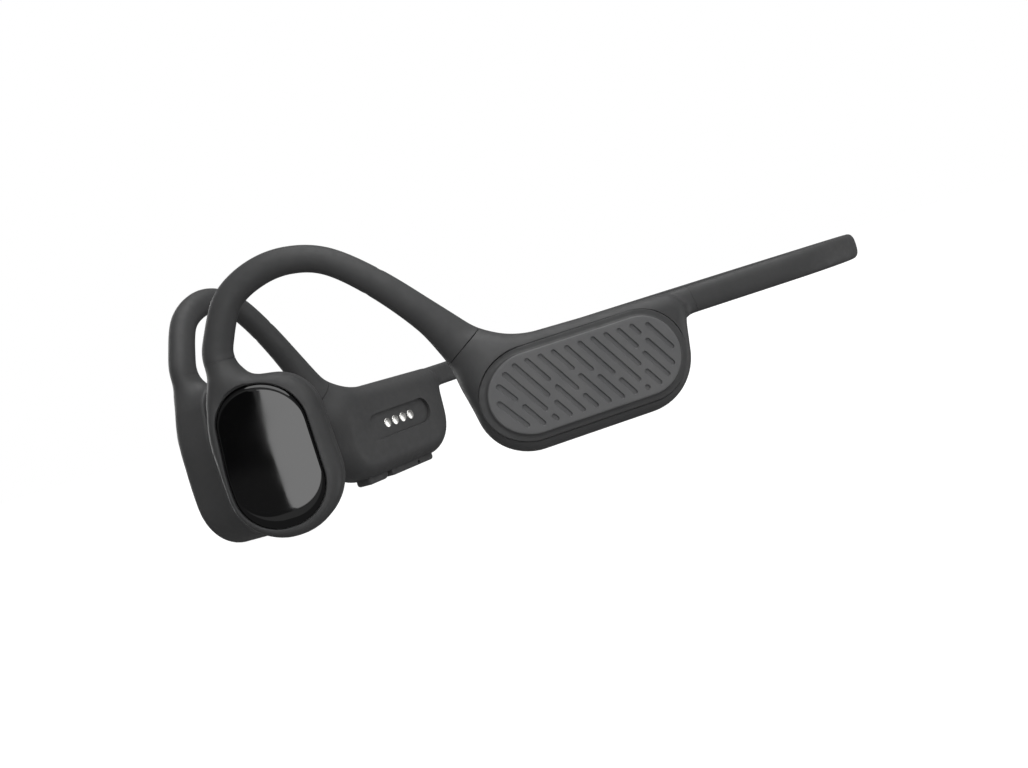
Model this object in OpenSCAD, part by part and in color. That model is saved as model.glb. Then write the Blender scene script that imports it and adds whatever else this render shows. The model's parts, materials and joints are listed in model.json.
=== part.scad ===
// Bone conduction headphones: two ear hooks with transducer pods, two
// housings and a sprung neckband. The wearer faces -Y and +X is the
// wearer's left. Millimetres, +Z up, resting on the keys and the pods.
// Left-side pieces are modelled and right-side ones are their mirror image.

/* [Layout] */
// Distance between the two arms where hook and housing meet
valley_gap = 73.2; // [70:0.1:80]
// Angle of each housing away from straight back
housing_splay = 21.2; // [19:0.1:23]
// Angle of each ear hook away from straight back
hook_splay = 32.5; // [30:0.1:35]
// Straight length of each arm behind the valley
arm_straight = 59.6; // [56:0.1:64]
// Radius of the neckband's corners
corner_r = 26; // [22:0.5:30]
// Half angle of the gentle bow across the back
bow_angle = 10; // [8:1:12]

/* [Housings] */
// Thickness from the parting line to the outer face
outer_depth = 5.4; // [5:0.1:6]
// Thickness from the parting line to the inner face
inner_depth = 5.4; // [5:0.1:6]
// Wall of the moulded shells
wall = 1.3; // [1:0.1:1.6]
// Height of the underside above the surface the keys stand on
housing_z = 1.3; // [1.1:0.1:1.5]

/* [Neckband] */
// Height of the flat-oval band
band_h = 5.4; // [5:0.1:5.6]
// Thickness of the flat-oval band
band_t = 3.4; // [3.2:0.1:3.8]
// Height of the band's centre line
band_z = 19.6; // [19.4:0.1:19.8]

/* [Pods] */
// Thickness from the hook's plane to the outer rim
pod_outer = 2.8; // [2.7:0.1:3.2]
// Thickness from the hook's plane to the contact face
pod_inner = 7.8; // [7.6:0.1:8]
// How far the glossy plate lies below the rim
plate_recess = 0.2; // [0.1:0.1:0.3]

/* [Grip pads] */
// Length of the pad's base
pad_l = 41.6; // [41:0.1:42]
// Height of the pad's base
pad_h = 18.2; // [17.8:0.1:18.4]
// Length of the raised plateau
plateau_l = 38; // [37:0.1:38.4]
// Height of the raised plateau
plateau_h = 15; // [14.6:0.1:15.2]
// Width of the slots in the plateau
slot_w = 0.9; // [0.7:0.1:1]
// Depth of the slots in the plateau
slot_depth = 0.5; // [0.3:0.1:0.6]
// Lean of the slots from the horizontal
slot_angle = 58; // [55:1:61]

/* [Keys and port] */
// Gap round each key
key_gap = 0.3; // [0.25:0.05:0.35]
// Diameter of each charging contact
pin_d = 2.4; // [2:0.1:2.5]
// Spacing of the charging contacts
pin_pitch = 3; // [2.9:0.1:3.1]

/* [Hidden] */

arc_steps = 6;
ring_sides = 12;
wire_sides = 6;
wire_r = 0.5;
cable_r = 0.55;
core_offset = 0.68;
body_grey = [0.24, 0.24, 0.25];
pad_grey = [0.38, 0.38, 0.39];
steel = [0.75, 0.76, 0.78];
copper = [0.8, 0.5, 0.3];
board_green = [0.1, 0.3, 0.2];

// Puts the middle of the overall length at y = 0
shift_y = -22.3;
valley = [valley_gap / 2, shift_y];

// The arm bends from the housing's plane to the hook's along a short arc
bend_start = -1;
bend_len = 9;
bend_r = bend_len / ((hook_splay - housing_splay) * PI / 180);

// ---- plan view of an arm: s runs backwards from the valley ----
function heading_dir(h) = [sin(h), cos(h)];
function outward(h) = [cos(h), -sin(h), 0];
bend_from = valley + bend_start * heading_dir(housing_splay);
function bend_point(u) =
    let (h = housing_splay + u / bend_r * 180 / PI)
    bend_from - bend_r * [cos(housing_splay) - cos(h), sin(h) - sin(housing_splay)];
hook_foot = bend_point(bend_len) - (bend_start - bend_len) * heading_dir(hook_splay);
function heading(s) =
    s >= bend_start ? housing_splay
    : s <= bend_start - bend_len ? hook_splay
    : housing_splay + (bend_start - s) / bend_r * 180 / PI;
function plan(s) =
    s >= bend_start ? valley + s * heading_dir(housing_splay)
    : s <= bend_start - bend_len ? hook_foot + s * heading_dir(hook_splay)
    : bend_point(bend_start - s);

// ---- generic curves and skins ----
function spline(p, i, t) =
    let (a = p[max(i - 1, 0)], b = p[i], c = p[i + 1], d = p[min(i + 2, len(p) - 1)])
    0.5 * (2 * b + (c - a) * t + (2 * a - 5 * b + 4 * c - d) * t * t
        + (3 * b - a - 3 * c + d) * t * t * t);
function smooth(p, first, last, steps) = concat(
    [for (i = [first : last - 1], k = [0 : steps - 1]) spline(p, i, k / steps)], [p[last]]);
function turn2(v, a) = [v[0] * cos(a) - v[1] * sin(a), v[0] * sin(a) + v[1] * cos(a)];

// Outline through corners [x, y, radius], moved inwards by inset
function rounded(v, inset = 0) = [for (i = [0 : len(v) - 1])
    let (
        n = len(v),
        a = v[(i + n - 1) % n], b = v[i], c = v[(i + 1) % n],
        u1 = [b[0] - a[0], b[1] - a[1]] / norm([b[0] - a[0], b[1] - a[1]]),
        u2 = [c[0] - b[0], c[1] - b[1]] / norm([c[0] - b[0], c[1] - b[1]]),
        n1 = [-u1[1], u1[0]],
        n2 = [-u2[1], u2[0]],
        bend = atan2(u1[0] * u2[1] - u1[1] * u2[0], u1 * u2),
        side = sign(bend),
        r = max(b[2] - side * inset, 0.05),
        corner = [b[0], b[1]] + inset * (n1 + n2) / (1 + n1 * n2),
        centre = corner - u1 * r * tan(abs(bend) / 2) + side * r * n1
    )
    for (k = [0 : arc_steps]) centre - side * r * turn2(n1, bend * k / arc_steps)];

// Closed skin over rings of equally many points
module skin(rings) {
    m = len(rings[0]);
    last = len(rings) - 1;
    polyhedron(
        points = [for (ring = rings, p = ring) p],
        faces = concat(
            [[for (j = [0 : m - 1]) j]],
            [[for (j = [m - 1 : -1 : 0]) last * m + j]],
            [for (i = [0 : last - 1], j = [0 : m - 1])
                [i * m + j, (i + 1) * m + j, (i + 1) * m + (j + 1) % m, i * m + (j + 1) % m]]),
        convexity = 8);
}
// Skin over layers [height, outline]
module loft(layers) {
    skin([for (layer = layers) [for (p = layer[1]) [p[0], p[1], layer[0]]]]);
}

// Rings across a path of stations [x, y, z, heading, half height, half thickness].
// Power under 1 makes the section squarer; lift moves it off the path.
function tangent(p, i) =
    let (a = p[max(i - 1, 0)], c = p[min(i + 1, len(p) - 1)], t = [c[0] - a[0], c[1] - a[1], c[2] - a[2]])
    t / norm(t);
function section(p, i, sides, power = 1, lift = 0) =
    let (
        b = p[i],
        out = outward(b[3]),
        across = cross(out, tangent(p, i)),
        up = across / norm(across)
    )
    [for (k = [0 : sides - 1])
        let (ca = cos(k * 360 / sides), sa = sin(k * 360 / sides))
        [b[0], b[1], b[2]]
            + up * (lift + b[4] * sign(ca) * pow(abs(ca), power))
            + out * b[5] * sign(sa) * pow(abs(sa), power)];
// The first trim[0] and last trim[1] stations only steer the ends' direction
module sweep(path, sides, power = 1, lift = 0, trim = [0, 0]) {
    skin([for (i = [trim[0] : len(path) - 1 - trim[1]]) section(path, i, sides, power, lift)]);
}
function resized(path, h, t) = [for (p = path) [p[0], p[1], p[2], p[3], h, t]];

// One mesh out of its children, so that skins and plain solids join cleanly
module fused() {
    resize([0, 0, 0]) union() children();
}

// ---- placing: x is s, y is height, z is outwards from the arm's plane ----
module in_housing() {
    translate([valley[0], valley[1], 0]) rotate([0, 0, 90 - housing_splay])
        rotate([90, 0, 0]) children();
}
module in_pod() {
    translate([hook_foot[0], hook_foot[1], 0]) rotate([0, 0, 90 - hook_splay])
        rotate([90, 0, 0]) children();
}
module mirrored() {
    mirror([1, 0, 0]) children();
}
module slab(low, high) {
    translate([0, 0, low]) linear_extrude(high - low) children();
}

// ---- ear hook ----
// Stations [s, z, half height, half thickness] from the pod up, over the ear and down
hook_stations = [
    [-50.6, 30.4, 3, 2.8],
    [-51.45, 35.8, 3, 2.6], [-50.3, 39.8, 2.85, 2.55], [-46.3, 46.3, 2.75, 2.5],
    [-40, 49.5, 2.75, 2.45], [-33.2, 49.95, 2.65, 2.4], [-26.3, 47.5, 2.6, 2.4],
    [-18.9, 40.8, 2.75, 2.4], [-11.6, 31.8, 3.15, 2.6], [-6.8, 24.4, 4.3, 3],
    [-2.6, 18.4, 5, 3.6]
];
hook_steps = 3;
hook_first = 1;
hook_last = len(hook_stations) - 2;
function on_arm(stations) = [for (q = stations)
    [plan(q[0])[0], plan(q[0])[1], q[1], heading(q[0]), q[2], q[3]]];
function hook_path(first, last) = on_arm(smooth(hook_stations, first, last, hook_steps));
hook_bore_r = 1.35;

module hook_sleeve() {
    color(body_grey) fused() difference() {
        sweep(hook_path(hook_first - 1, hook_last + 1), ring_sides, trim = [hook_steps, hook_steps]);
        hook_channel();
    }
}
// The bore runs straight through the planes of the two seams
module hook_channel() {
    path = resized(hook_path(0, hook_last + 1), hook_bore_r, hook_bore_r);
    last = len(path) - 1;
    skin([for (i = [0 : last], shift = i == hook_steps || i == last - hook_steps ? [-0.4, 0.4] : [0])
        [for (p = section(path, i, wire_sides)) p + shift * tangent(path, i)]]);
}
module hook_core_wire() {
    color(steel) sweep(resized(hook_path(0, hook_last + 1), wire_r, wire_r),
        wire_sides, 1, core_offset);
}
module hook_cable() {
    color("black") sweep(resized(hook_path(0, hook_last + 1), cable_r, cable_r),
        wire_sides, 1, -core_offset);
}

// ---- neckband ----
seam_s = 39.4;
band_inside_s = 34.5;
corner_turn = 90 - bow_angle + housing_splay;
corner_steps = 7;
bow_steps = 3;
corner_centre = valley + arm_straight * heading_dir(housing_splay)
    + corner_r * [-cos(housing_splay), sin(housing_splay)];
function corner_point(h) = corner_centre + corner_r * [cos(h), -sin(h)];
bow_end = corner_point(bow_angle - 90);
bow_r = bow_end[0] / sin(bow_angle);
back_y = bow_end[1] + bow_r * (1 - cos(bow_angle));
function half_band(from_s) = concat(
    [for (s = [from_s, seam_s, 48, arm_straight - 2])
        [plan(s)[0], plan(s)[1], housing_splay]],
    [for (i = [0 : corner_steps])
        let (h = housing_splay - corner_turn * i / corner_steps)
        [corner_point(h)[0], corner_point(h)[1], h]],
    [for (i = [1 : bow_steps])
        let (h = -90 + bow_angle * (1 - i / bow_steps))
        [bow_r * cos(h), back_y - bow_r + bow_r * -sin(h), h]]);
function whole_band(from_s, h, t) =
    let (half = half_band(from_s), n = len(half))
    concat(
        [for (p = half) [p[0], p[1], band_z, p[2], h, t]],
        [for (i = [n - 2 : -1 : 0]) [-half[i][0], half[i][1], band_z, -180 - half[i][2], h, t]]);
function visible_band(h, t) =
    let (all = whole_band(band_inside_s, h, t))
    [for (i = [1 : len(all) - 2]) all[i]];
band_power = 0.72;
band_bore_h = 1.45;
band_bore_t = 0.8;

module neckband_sleeve() {
    color(body_grey) fused() difference() {
        sweep(visible_band(band_h / 2, band_t / 2), ring_sides, band_power);
        sweep(whole_band(band_inside_s, band_bore_h, band_bore_t), ring_sides);
    }
}
module neckband_core_wire() {
    color(steel) sweep(whole_band(band_inside_s, wire_r, wire_r), wire_sides, 1, core_offset);
}
module neckband_cable() {
    color("black") sweep(whole_band(band_inside_s, cable_r, cable_r), wire_sides, 1, -core_offset);
}

// ---- housing ----
// Corners [s, z, radius] of the whole outline, with its stubs to the hook and the band
outline_corners = [
    [seam_s, band_z - band_h / 2, 0], [seam_s, band_z + band_h / 2, 0],
    [-1.2, 23.5, 7], seam_end(1), seam_end(-1),
    [-8.1, housing_z, 10], [33.5, housing_z, 11], [36.4, band_z - band_h / 2, 2.4]
];
// Where the seam between hook and housing meets the outline, above and below
function seam_end(side) =
    let (
        q = hook_stations[hook_last],
        a = spline(hook_stations, hook_last - 1, 1 - 1 / hook_steps),
        b = spline(hook_stations, hook_last, 1 / hook_steps),
        t = [b[0] - a[0], b[1] - a[1]] / norm([b[0] - a[0], b[1] - a[1]])
    )
    [q[0] - side * t[1] * (q[2] - 0.2), q[1] + side * t[0] * (q[2] - 0.2), 0];
body_corners = [
    [37.3, 22.3, 4], [-3, 23.45, 6], [-8.8, 19, 6], [-8.1, housing_z, 10], [33.5, housing_z, 11]
];
// The inner side tapers over this length towards the band
taper_l = 12;
function tapered(shift) = [for (i = [0 : 4])
    [body_corners[i][0] - (i == 0 || i == 4 ? shift : 0), body_corners[i][1], body_corners[i][2]]];
// Layers [share of the depth, share of the edge's rounding]
edge_layers = [[1, 1], [0.98, 0.62], [0.88, 0.27], [0.7, 0.06], [0.45, 0]];
half_parting = 0.15;
stub_half = band_t / 2 - 0.1;
port_centre = [13.5, 12.65];
port_l = 23.8;
port_h = 6.2;
port_depth = 0.6;
pad_centre = [13, 12.3];
pad_seat = 0.5;

module pill(l, h) {
    square([l - h, h], center = true);
    for (side = [-1, 1]) translate([side * (l - h) / 2, 0]) circle(h / 2, $fn = 52);
}
module housing_body() {
    in_housing() {
        slab(-stub_half, stub_half) polygon(rounded(outline_corners, 0.04));
        loft(concat(
            [for (q = edge_layers)
                [-inner_depth * q[0], rounded(tapered(taper_l * (1 - sqrt(1 - q[0] * q[0]))), 3.8 * q[1])]],
            [for (i = [4 : -1 : 0])
                [outer_depth * edge_layers[i][0], rounded(body_corners, 2.8 * edge_layers[i][1])]]));
    }
    sweep(hook_path(hook_last - 1, hook_last + 1), ring_sides, trim = [hook_steps, 0]);
    sweep([for (i = [0 : 1]) whole_band(band_inside_s, band_h / 2, band_t / 2)[i]],
        ring_sides, band_power);
}
module housing_room(inset) {
    in_housing() loft([for (q = [[-inner_depth + wall, 8.5], [-3.4, 5], [-2, 1.2],
                                 [outer_depth - wall - pad_seat, 0]])
        [q[0], rounded(tapered(q[1]), inset)]]);
}
module housing_hollow() {
    housing_room(2.4);
    hook_channel();
    sweep(whole_band(band_inside_s - 3, band_bore_h, band_bore_t), ring_sides);
}
module half_space(side) {
    in_housing() slab(side > 0 ? half_parting : -20, side > 0 ? 20 : -half_parting)
        translate([-30, -10]) square([90, 50]);
}
module housing_outer_shell() {
    color(body_grey) fused() intersection() {
        difference() {
            housing_body();
            housing_hollow();
            in_housing() slab(outer_depth - pad_seat, outer_depth + 1)
                translate(pad_centre) pill(pad_l, pad_h);
        }
        half_space(1);
    }
}
module housing_inner_shell_solid() {
    intersection() {
        difference() {
            housing_body();
            housing_hollow();
        }
        half_space(-1);
    }
}
module left_housing_inner_shell() {
    color(body_grey) fused() housing_inner_shell_solid();
}
// Soft ring between the two shells, set back from the outside
module housing_seal() {
    color("dimgray") difference() {
        in_housing() slab(-half_parting, half_parting) difference() {
            polygon(rounded(body_corners, 0.9));
            polygon(rounded(body_corners, 1.9));
        }
        hook_channel();
        sweep(whole_band(band_inside_s - 3, band_bore_h, band_bore_t), ring_sides);
    }
}

// ---- grip pad ----
slot_pitch = 2.7;
slot_start = -17.55;
// Height of the break in each slanted line, from the pad's middle
slot_breaks = [99, -1.1, -4.5, -2.2, 0.5, -2.7, 1.1, -0.2, -2.1, -4.9, -2.1, 1.3, 3.5, 99];
break_len = 1.1;
slot_margin = 1;
// Distance along a slanted line through (c, 0) to the edge of the slotted field
function reach(c, way) =
    let (
        r = plateau_h / 2 - slot_margin - slot_w / 2,
        half = plateau_l / 2 - slot_margin - slot_w / 2 - r,
        u = way * [-cos(slot_angle), sin(slot_angle)],
        x = c + u[0] * r / sin(slot_angle),
        q = [c - (x < 0 ? -half : half), 0],
        b = q * u
    )
    abs(x) <= half ? r / sin(slot_angle) : -b + sqrt(max(b * b - q * q + r * r, 0));
module slot(from, to) {
    if (to - from > 0.1) translate([from, -slot_w / 2]) square([to - from, slot_w]);
    for (x = [from, to]) translate([x, 0]) circle(slot_w / 2, $fn = 24);
}
module slot_line(j) {
    c = slot_start + j * slot_pitch;
    top = reach(c, 1);
    bottom = -reach(c, -1);
    broken = abs(slot_breaks[j]) < plateau_h;
    at = slot_breaks[j] / sin(slot_angle);
    translate([c, 0]) rotate(180 - slot_angle) {
        if (broken) {
            slot(bottom, at - break_len);
            slot(at + break_len, top);
        } else {
            slot(bottom, top);
        }
    }
}
module grip_pad() {
    color(pad_grey) in_housing() translate(pad_centre) difference() {
        union() {
            slab(outer_depth - pad_seat, outer_depth - 0.1) pill(pad_l - 0.2, pad_h - 0.2);
            slab(outer_depth - 0.1, outer_depth + 0.3) pill(plateau_l + 1.4, plateau_h + 1.4);
            slab(outer_depth + 0.3, outer_depth + 0.8) pill(plateau_l, plateau_h);
        }
        for (j = [0 : len(slot_breaks) - 1])
            slab(outer_depth + 0.8 - slot_depth, outer_depth + 2) slot_line(j);
    }
}

// ---- pod ----
pod_corners = [[-36.2, 29.8, 8.5], [-55.2, 33, 5], [-57.9, 22, 22], [-57.4, 0, 10.5], [-35.4, 0, 11]];
plate_corners = [[-38.7, 29.3, 9], [-55, 30.4, 7.5], [-56.6, 14, 40], [-56.2, 2.1, 8.4], [-38.8, 2.1, 8.4]];
rim_growth = 0.4;
pod_waist = 0.9;
pod_edge = -5.6;
plate_t = 0.8;
plate_top = pod_outer - plate_recess;
drive_centre = [-46.8, 13.5];
function mix(a, b, t) = a * (1 - t) + b * t;
// From the pod's outline at angle 0 to the rim round the plate at 90
function pod_layer(angle) =
    let (base = rounded(pod_corners), rim = rounded(plate_corners, -rim_growth))
    [for (i = [0 : len(base) - 1]) mix(base[i], rim[i], 1 - cos(angle))];
module pod_shell() {
    color(body_grey) fused() difference() {
        union() {
            in_pod() {
                loft([for (a = [0 : 15 : 90]) [pod_waist + (pod_outer - pod_waist) * sin(a), pod_layer(a)]]);
                loft([[pod_edge, rounded(pod_corners, 0.7)], [pod_edge + 1, rounded(pod_corners, 0.15)],
                      [pod_waist, rounded(pod_corners)]]);
            }
            sweep(hook_path(0, hook_first + 1), ring_sides, trim = [0, hook_steps]);
        }
        in_pod() {
            slab(pod_edge - 1, pod_outer - 2.4) polygon(rounded(pod_corners, 1.5));
            slab(0, pod_outer + 1) polygon(rounded(plate_corners, 1.3));
            slab(plate_top - plate_t, pod_outer + 1) polygon(rounded(plate_corners, -0.05));
        }
        hook_channel();
    }
}
module pod_face_plate() {
    color("black") in_pod() slab(plate_top - plate_t, plate_top) polygon(rounded(plate_corners, 0.05));
}
module pod_contact_pad() {
    color(pad_grey) in_pod() loft([[-pod_inner, rounded(pod_corners, 4)],
        [-pod_inner + 0.4, rounded(pod_corners, 2.4)], [-pod_inner + 1.2, rounded(pod_corners, 1.2)],
        [pod_edge, rounded(pod_corners, 0.8)]]);
}
// A ring or disc about the drive unit's axis
module drive_ring(low, high, outer_r, inner_r = 0) {
    in_pod() translate(drive_centre) difference() {
        slab(low, high) circle(outer_r, $fn = 64);
        if (inner_r > 0) slab(low - 1, high + 1) circle(inner_r, $fn = 64);
    }
}
coil_foot = pod_edge + 0.5;
yoke_rim = pod_edge + 1.9;
yoke_top = pod_edge + 5.7;
module vibration_plate() {
    color(steel) union() {
        drive_ring(pod_edge, coil_foot, 8.4);
        drive_ring(coil_foot, yoke_rim - 0.3, 8.4, 7.8);
    }
}
module voice_coil() {
    color(copper) drive_ring(coil_foot, coil_foot + 3.4, 5.9, 5.1);
}
module suspension_spring() {
    color(steel) drive_ring(yoke_rim - 0.3, yoke_rim, 8.4, 6.5);
}
module magnet_yoke() {
    color("silver") difference() {
        drive_ring(yoke_rim, yoke_top, 7.2);
        drive_ring(yoke_rim - 1, yoke_top - 1, 6.3);
    }
}
module drive_magnet() {
    color("gray") drive_ring(yoke_rim + 0.9, yoke_top - 1, 4.6);
}
module pole_plate() {
    color(steel) drive_ring(yoke_rim + 0.1, yoke_rim + 0.9, 4.7);
}

// ---- left housing: battery ----
module battery_cell() {
    color("silver") in_housing() translate([0.5, 6.2, -3.1]) cube([23, 11.2, 4.6]);
}
module battery_protection_board() {
    color(board_green) in_housing() translate([24.2, 6.8, -2.4]) cube([1, 10, 3.6]);
}
module battery_foam_pad() {
    color("gray") in_housing() translate([1.5, 7, 1.5]) cube([21, 9.6, 1.4]);
}

// ---- right housing: electronics, port and keys ----
board_w = 0.8;
board_t = 0.8;
key_foot = 2.6;
module main_board() {
    color(board_green) mirrored() in_housing() translate([-3.2, 6.8, board_w]) cube([32.4, 12.4, board_t]);
}
module bluetooth_chip() {
    color("black") mirrored() in_housing() translate([16, 10, board_w + board_t]) cube([5, 5, 0.8]);
}
// Crystal, regulator, charger and inductor
module board_components() {
    color("gray") mirrored() in_housing() {
        translate([9, 9, board_w + board_t]) cube([3.2, 2.5, 0.7]);
        translate([9, 14, board_w + board_t]) cube([3, 3, 0.9]);
        translate([3, 11, board_w + board_t]) cube([2.9, 2.9, 0.6]);
        translate([13.4, 16.6, board_w + board_t]) cube([2, 1.6, 0.5]);
    }
}
module antenna() {
    color(steel) mirrored() in_housing() translate([22.6, 16, board_w + board_t]) cube([6, 2, 1]);
}
module microphone() {
    color("silver") mirrored() in_housing() translate([24.5, 7.4, board_w + board_t]) cube([3.4, 2.6, 1]);
}
function pin_x(i) = port_centre[0] + (i - 1.5) * pin_pitch;
block_l = 20;
block_h = 7.6;
block_t = 1.4;
port_floor = -inner_depth + port_depth;
block_floor = -inner_depth + wall;
module charging_contact_block() {
    color("black") mirrored() in_housing() difference() {
        translate([0, 0, block_floor]) linear_extrude(block_t)
            translate(port_centre) square([block_l, block_h], center = true);
        for (i = [0 : 3]) translate([pin_x(i), port_centre[1], -6]) cylinder(r = pin_d / 2, h = 6, $fn = 32);
        for (side = [-1, 1]) translate([port_centre[0] + side * 8, port_centre[1], -6])
            cylinder(r = 1.75, h = 6, $fn = 32);
    }
}
module charging_pins() {
    color(steel) mirrored() in_housing() for (i = [0 : 3])
        translate([pin_x(i), port_centre[1], port_floor - 0.15])
            cylinder(r = pin_d / 2, h = board_w - port_floor + 0.15, $fn = 32);
}
module charging_magnets() {
    color("silver") mirrored() in_housing() for (side = [-1, 1])
        translate([port_centre[0] + side * 8, port_centre[1], block_floor])
            cylinder(r = 1.75, h = 2.6, $fn = 32);
}
// Each key: [start, end] along the housing; both are as deep as key_w
power_span = [-0.6, 6.8];
rocker_span = [7.9, 24.9];
key_w = 4.4;
rocker_mid = (rocker_span[0] + rocker_span[1]) / 2;
pivot_z = 3.1;
pivot_r = 0.5;
// The keys press three switches along this line, through a film
switch_places = [1.8, 10.6, 22.2];
film_z = 4.5;
film_t = 0.3;
module key_block(span, low, high, grow = 0) {
    in_housing() slab(-key_w / 2 - grow, key_w / 2 + grow)
        translate([span[0] - grow, low]) square([span[1] - span[0] + 2 * grow, high - low]);
}
module key_windows() {
    key_block(power_span, -1, 4.4, key_gap);
    key_block(rocker_span, -1, 4.4, key_gap);
}
module key_profile(span) {
    in_housing() slab(-key_w / 2, key_w / 2) polygon(rounded([
        [span[1], key_foot, 0.2], [span[0], key_foot, 0.2], [span[0], 0, 0.6], [span[1], 0, 0.6]]));
}
// Post on a key that presses the switch at x through the film
module plunger(x) {
    in_housing() slab(-0.9, 0.9) translate([x - 0.8, key_foot - 0.3])
        square([1.6, film_z - 0.45 - key_foot + 0.3]);
}
module power_key() {
    color(body_grey) mirrored() {
        key_profile(power_span);
        plunger(switch_places[0]);
    }
}
module volume_rocker() {
    color(body_grey) mirrored() difference() {
        union() {
            key_profile(rocker_span);
            in_housing() slab(-key_w / 2, key_w / 2) translate([rocker_mid - 1.3, key_foot - 0.2])
                square([2.6, 1.6]);
            plunger(switch_places[1]);
            plunger(switch_places[2]);
        }
        in_housing() translate([rocker_mid, pivot_z, -key_w]) cylinder(r = pivot_r + 0.05, h = 2 * key_w, $fn = 32);
    }
}
module rocker_pivot() {
    color(steel) mirrored() in_housing() translate([rocker_mid, pivot_z, -3.9])
        cylinder(r = pivot_r, h = 7.6, $fn = 32);
}
// Film that closes the housing's floor above the keys
module key_membrane() {
    color("dimgray") mirrored() intersection() {
        in_housing() difference() {
            slab(-key_w / 2 - 0.9, key_w / 2 + 0.9) translate([-4.2, film_z]) square([31, film_t]);
            translate([rocker_mid - 1.9, film_z - 1, -key_w / 2 - 0.5]) cube([3.8, 2, key_w + 1]);
        }
        housing_room(2.45);
    }
}
module key_switches() {
    color("silver") mirrored() in_housing() for (x = switch_places)
        translate([x - 1.5, film_z + film_t, -1.8]) cube([3, 1.7, board_w + 1.8]);
}
module right_housing_inner_shell() {
    color(body_grey) mirrored() fused() difference() {
        housing_inner_shell_solid();
        in_housing() {
            slab(-inner_depth - 1, port_floor) translate(port_centre) pill(port_l, port_h);
            for (i = [0 : 3]) translate([pin_x(i), port_centre[1], -7])
                cylinder(r = pin_d / 2 + 0.03, h = 4, $fn = 24);
            translate([rocker_mid, pivot_z, -4]) cylinder(r = pivot_r + 0.02, h = 5, $fn = 32);
        }
        key_windows();
    }
}
module right_housing_outer_shell() {
    color(body_grey) mirrored() fused() difference() {
        housing_outer_shell();
        key_windows();
        in_housing() translate([rocker_mid, pivot_z, 0]) cylinder(r = pivot_r + 0.02, h = 3.8, $fn = 32);
    }
}
module right_housing_seal() {
    mirrored() difference() {
        housing_seal();
        key_windows();
    }
}

neckband_sleeve();
neckband_core_wire();
neckband_cable();
housing_outer_shell();  // left_housing_outer_shell
left_housing_inner_shell();
housing_seal();  // left_housing_seal
grip_pad();  // left_grip_pad
hook_sleeve();  // left_hook_sleeve
hook_core_wire();  // left_hook_core_wire
hook_cable();  // left_hook_cable
pod_shell();  // left_pod_shell
pod_face_plate();  // left_pod_face_plate
pod_contact_pad();  // left_pod_contact_pad
vibration_plate();  // left_vibration_plate
voice_coil();  // left_voice_coil
suspension_spring();  // left_suspension_spring
magnet_yoke();  // left_magnet_yoke
drive_magnet();  // left_drive_magnet
pole_plate();  // left_pole_plate
battery_cell();
battery_protection_board();
battery_foam_pad();
right_housing_outer_shell();
right_housing_inner_shell();
right_housing_seal();
mirrored() grip_pad();  // right_grip_pad
mirrored() hook_sleeve();  // right_hook_sleeve
mirrored() hook_core_wire();  // right_hook_core_wire
mirrored() hook_cable();  // right_hook_cable
mirrored() pod_shell();  // right_pod_shell
mirrored() pod_face_plate();  // right_pod_face_plate
mirrored() pod_contact_pad();  // right_pod_contact_pad
mirrored() vibration_plate();  // right_vibration_plate
mirrored() voice_coil();  // right_voice_coil
mirrored() suspension_spring();  // right_suspension_spring
mirrored() magnet_yoke();  // right_magnet_yoke
mirrored() drive_magnet();  // right_drive_magnet
mirrored() pole_plate();  // right_pole_plate
main_board();
bluetooth_chip();
board_components();
antenna();
microphone();
charging_contact_block();
charging_pins();
charging_magnets();
key_switches();
key_membrane();
power_key();
volume_rocker();
rocker_pivot();
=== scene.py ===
"""Bone conduction headphones: visible skins, materials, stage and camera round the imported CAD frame."""
import itertools
import json
import math

import bmesh
import bpy
import numpy as np
from mathutils import Matrix, Vector


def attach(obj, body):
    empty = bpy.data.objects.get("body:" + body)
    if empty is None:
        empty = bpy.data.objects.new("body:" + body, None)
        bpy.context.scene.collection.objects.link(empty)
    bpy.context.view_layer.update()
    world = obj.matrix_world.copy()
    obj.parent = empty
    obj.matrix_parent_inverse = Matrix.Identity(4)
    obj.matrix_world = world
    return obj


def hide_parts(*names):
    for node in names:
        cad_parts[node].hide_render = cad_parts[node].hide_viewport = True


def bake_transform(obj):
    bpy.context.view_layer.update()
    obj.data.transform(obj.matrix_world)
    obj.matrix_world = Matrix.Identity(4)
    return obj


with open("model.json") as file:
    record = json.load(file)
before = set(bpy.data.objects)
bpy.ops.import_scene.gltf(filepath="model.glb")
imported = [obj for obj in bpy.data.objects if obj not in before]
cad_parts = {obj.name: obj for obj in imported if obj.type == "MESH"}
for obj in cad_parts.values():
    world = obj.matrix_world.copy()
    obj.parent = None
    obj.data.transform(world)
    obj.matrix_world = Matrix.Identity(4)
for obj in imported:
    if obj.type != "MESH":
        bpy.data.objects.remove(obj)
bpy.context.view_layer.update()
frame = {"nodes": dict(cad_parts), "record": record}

MM = 0.001
SIDES = ((1, "left"), (-1, "right"))

# ---------------------------------------------------------------- layout, in millimetres
# An arm is drawn flat, in arm coordinates: s backwards along it, z up, w outwards from its middle plane.
# VALLEY is where s = 0 lies in plan. In place, the arm bends sideways once, just ahead of that.
VALLEY = (36.6, -22.3)
HOUSING_SPLAY = math.radians(21.2)
HOOK_SPLAY = math.radians(32.5)
BEND_START = -1.0
BEND_LENGTH = 9.0
BEND_RADIUS = BEND_LENGTH / (HOOK_SPLAY - HOUSING_SPLAY)

# Width of the open line at a hook's or the band's seam, and half that of the one between a housing's
# two shells
SEAM_GAP = 0.035
PARTING_GAP = 0.04
# How far out, in w, a cutter ends that has to leave through a skin
PAST_SKIN = 7
# The grid that the skins of the housing and the pod are meshed on, and the boxes [s, z, w] round them
SKIN_CELL = 0.5
HOUSING_BOX = ((-17.2, -0.2, -6.6), (43.4, 31.5, 6.6))
POD_BOX = ((-60.2, -1.2, -6.8), (-33.6, 41.5, 4.6))

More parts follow.
